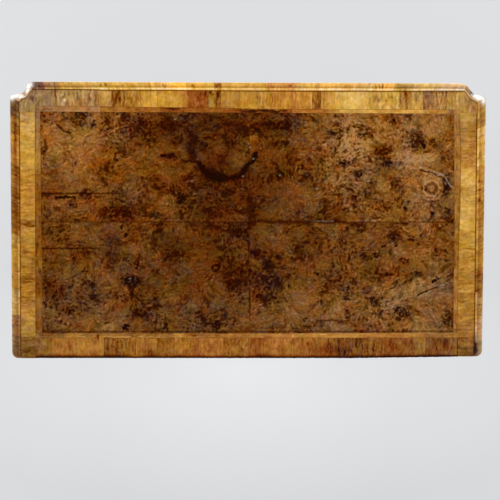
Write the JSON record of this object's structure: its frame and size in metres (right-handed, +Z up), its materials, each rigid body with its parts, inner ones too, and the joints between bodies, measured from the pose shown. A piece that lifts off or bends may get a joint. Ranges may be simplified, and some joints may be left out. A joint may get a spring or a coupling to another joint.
{
  "type": "bureau mazarin",
  "caption": "Veneered kneehole desk with banks of drawers, a frieze drawer, a recessed cupboard, baluster legs, X stretchers and ball feet.",
  "frame": {"origin": "on the floor, under the middle of the top", "axes": "+Z up, the drawers face -Y, +X along the top to the right as the sitter sees it"},
  "size_m": [1.15, 0.672, 0.79],
  "materials": {
    "burr_walnut": "waxed burr veneer",
    "cross_band_walnut": "waxed cross-grain veneer",
    "inner_band_walnut": "waxed feather-grain veneer",
    "moulding_walnut": "waxed cross-grain moulding",
    "solid_walnut": "waxed",
    "oak": "dry, planed",
    "pine": "dry, planed",
    "brass": "old polish",
    "iron": "filed, dark"
  },
  "bodies": {
    "carcass": {"top_boards": "pine", "top_burr_veneer": "burr_walnut", "top_inner_band": "inner_band_walnut", "top_cross_band": "cross_band_walnut", "top_edge_moulding": "moulding_walnut", "left_outer_side": "burr_walnut", "left_inner_side": "solid_walnut", "right_inner_side": "solid_walnut", "right_outer_side": "burr_walnut", "floor_boards": "pine", "back_boards": "pine", "dust_boards_and_guides": "pine", "carcass_rails": "solid_walnut", "kneehole_apron": "burr_walnut", "base_moulding": "moulding_walnut", "left_stretcher": "solid_walnut", "right_stretcher": "solid_walnut", "ball_feet": "solid_walnut", "left_front_inner_leg": "solid_walnut", "left_front_outer_leg": "solid_walnut", "left_back_inner_leg": "solid_walnut", "left_back_outer_leg": "solid_walnut", "right_front_inner_leg": "solid_walnut", "right_front_outer_leg": "solid_walnut", "right_back_inner_leg": "solid_walnut", "right_back_outer_leg": "solid_walnut", "carcass_hinge_leaves": "brass"},
    "left_top_drawer": {"left_top_drawer_front": "burr_walnut", "left_top_drawer_box": "oak", "left_top_drawer_fittings": "brass"},
    "left_top_drawer_bail": {"left_top_drawer_bail": "brass"},
    "left_middle_drawer": {"left_middle_drawer_front": "burr_walnut", "left_middle_drawer_box": "oak", "left_middle_drawer_fittings": "brass"},
    "left_middle_drawer_bail": {"left_middle_drawer_bail": "brass"},
    "left_bottom_drawer": {"left_bottom_drawer_front": "burr_walnut", "left_bottom_drawer_box": "oak", "left_bottom_drawer_fittings": "brass"},
    "left_bottom_drawer_bail": {"left_bottom_drawer_bail": "brass"},
    "right_top_drawer": {"right_top_drawer_front": "burr_walnut", "right_top_drawer_box": "oak", "right_top_drawer_fittings": "brass"},
    "right_top_drawer_bail": {"right_top_drawer_bail": "brass"},
    "right_middle_drawer": {"right_middle_drawer_front": "burr_walnut", "right_middle_drawer_box": "oak", "right_middle_drawer_fittings": "brass"},
    "right_middle_drawer_bail": {"right_middle_drawer_bail": "brass"},
    "right_bottom_drawer": {"right_bottom_drawer_front": "burr_walnut", "right_bottom_drawer_box": "oak", "right_bottom_drawer_fittings": "brass"},
    "right_bottom_drawer_bail": {"right_bottom_drawer_bail": "brass"},
    "frieze_drawer": {"frieze_drawer_front": "burr_walnut", "frieze_drawer_box": "oak", "frieze_drawer_fittings": "brass"},
    "frieze_drawer_bail": {"frieze_drawer_bail": "brass"},
    "cupboard_door": {"cupboard_door": "burr_walnut", "door_hinge_leaves": "brass", "door_lock": "iron"},
    "door_bolt": {"door_bolt": "iron"},
    "door_key": {"door_key": "iron"}
  },
  "joints": [
    {"name": "left_top_drawer_slide", "type": "slide", "parent": "carcass", "child": "left_top_drawer", "axis": [0, -1, 0], "range_m": [0, 0.4]},
    {"name": "left_top_drawer_bail_swing", "type": "hinge", "parent": "left_top_drawer", "child": "left_top_drawer_bail", "pos_m": [-0.356, -0.317, 0.6917], "axis": [-1, 0, 0], "range_deg": [0, 105]},
    {"name": "left_middle_drawer_slide", "type": "slide", "parent": "carcass", "child": "left_middle_drawer", "axis": [0, -1, 0], "range_m": [0, 0.4]},
    {"name": "left_middle_drawer_bail_swing", "type": "hinge", "parent": "left_middle_drawer", "child": "left_middle_drawer_bail", "pos_m": [-0.356, -0.317, 0.5717], "axis": [-1, 0, 0], "range_deg": [0, 105]},
    {"name": "left_bottom_drawer_slide", "type": "slide", "parent": "carcass", "child": "left_bottom_drawer", "axis": [0, -1, 0], "range_m": [0, 0.4]},
    {"name": "left_bottom_drawer_bail_swing", "type": "hinge", "parent": "left_bottom_drawer", "child": "left_bottom_drawer_bail", "pos_m": [-0.356, -0.317, 0.4457], "axis": [-1, 0, 0], "range_deg": [0, 105]},
    {"name": "right_top_drawer_slide", "type": "slide", "parent": "carcass", "child": "right_top_drawer", "axis": [0, -1, 0], "range_m": [0, 0.4]},
    {"name": "right_top_drawer_bail_swing", "type": "hinge", "parent": "right_top_drawer", "child": "right_top_drawer_bail", "pos_m": [0.356, -0.317, 0.6917], "axis": [-1, 0, 0], "range_deg": [0, 105]},
    {"name": "right_middle_drawer_slide", "type": "slide", "parent": "carcass", "child": "right_middle_drawer", "axis": [0, -1, 0], "range_m": [0, 0.4]},
    {"name": "right_middle_drawer_bail_swing", "type": "hinge", "parent": "right_middle_drawer", "child": "right_middle_drawer_bail", "pos_m": [0.356, -0.317, 0.5717], "axis": [-1, 0, 0], "range_deg": [0, 105]},
    {"name": "right_bottom_drawer_slide", "type": "slide", "parent": "carcass", "child": "right_bottom_drawer", "axis": [0, -1, 0], "range_m": [0, 0.4]},
    {"name": "right_bottom_drawer_bail_swing", "type": "hinge", "parent": "right_bottom_drawer", "child": "right_bottom_drawer_bail", "pos_m": [0.356, -0.317, 0.4457], "axis": [-1, 0, 0], "range_deg": [0, 105]},
    {"name": "frieze_drawer_slide", "type": "slide", "parent": "carcass", "child": "frieze_drawer", "axis": [0, -1, 0], "range_m": [0, 0.4]},
    {"name": "frieze_drawer_bail_swing", "type": "hinge", "parent": "frieze_drawer", "child": "frieze_drawer_bail", "pos_m": [0, -0.317, 0.6917], "axis": [-1, 0, 0], "range_deg": [0, 105]},
    {"name": "door_hinge", "type": "hinge", "parent": "carcass", "child": "cupboard_door", "pos_m": [-0.191, 0.066, 0.49], "axis": [0, 0, -1], "range_deg": [0, 80]},
    {"name": "key_turn", "type": "hinge", "parent": "cupboard_door", "child": "door_key", "pos_m": [0.16, 0.07, 0.4925], "axis": [0, -1, 0], "range_deg": [0, 180]},
    {"name": "bolt_throw", "type": "slide", "parent": "cupboard_door", "child": "door_bolt", "axis": [1, 0, 0], "range_m": [0, 0.008]}
  ],
  "couplings": [
    {"joint": "bolt_throw", "follows": "key_turn", "m_per_rad": 0.002546}
  ]
}
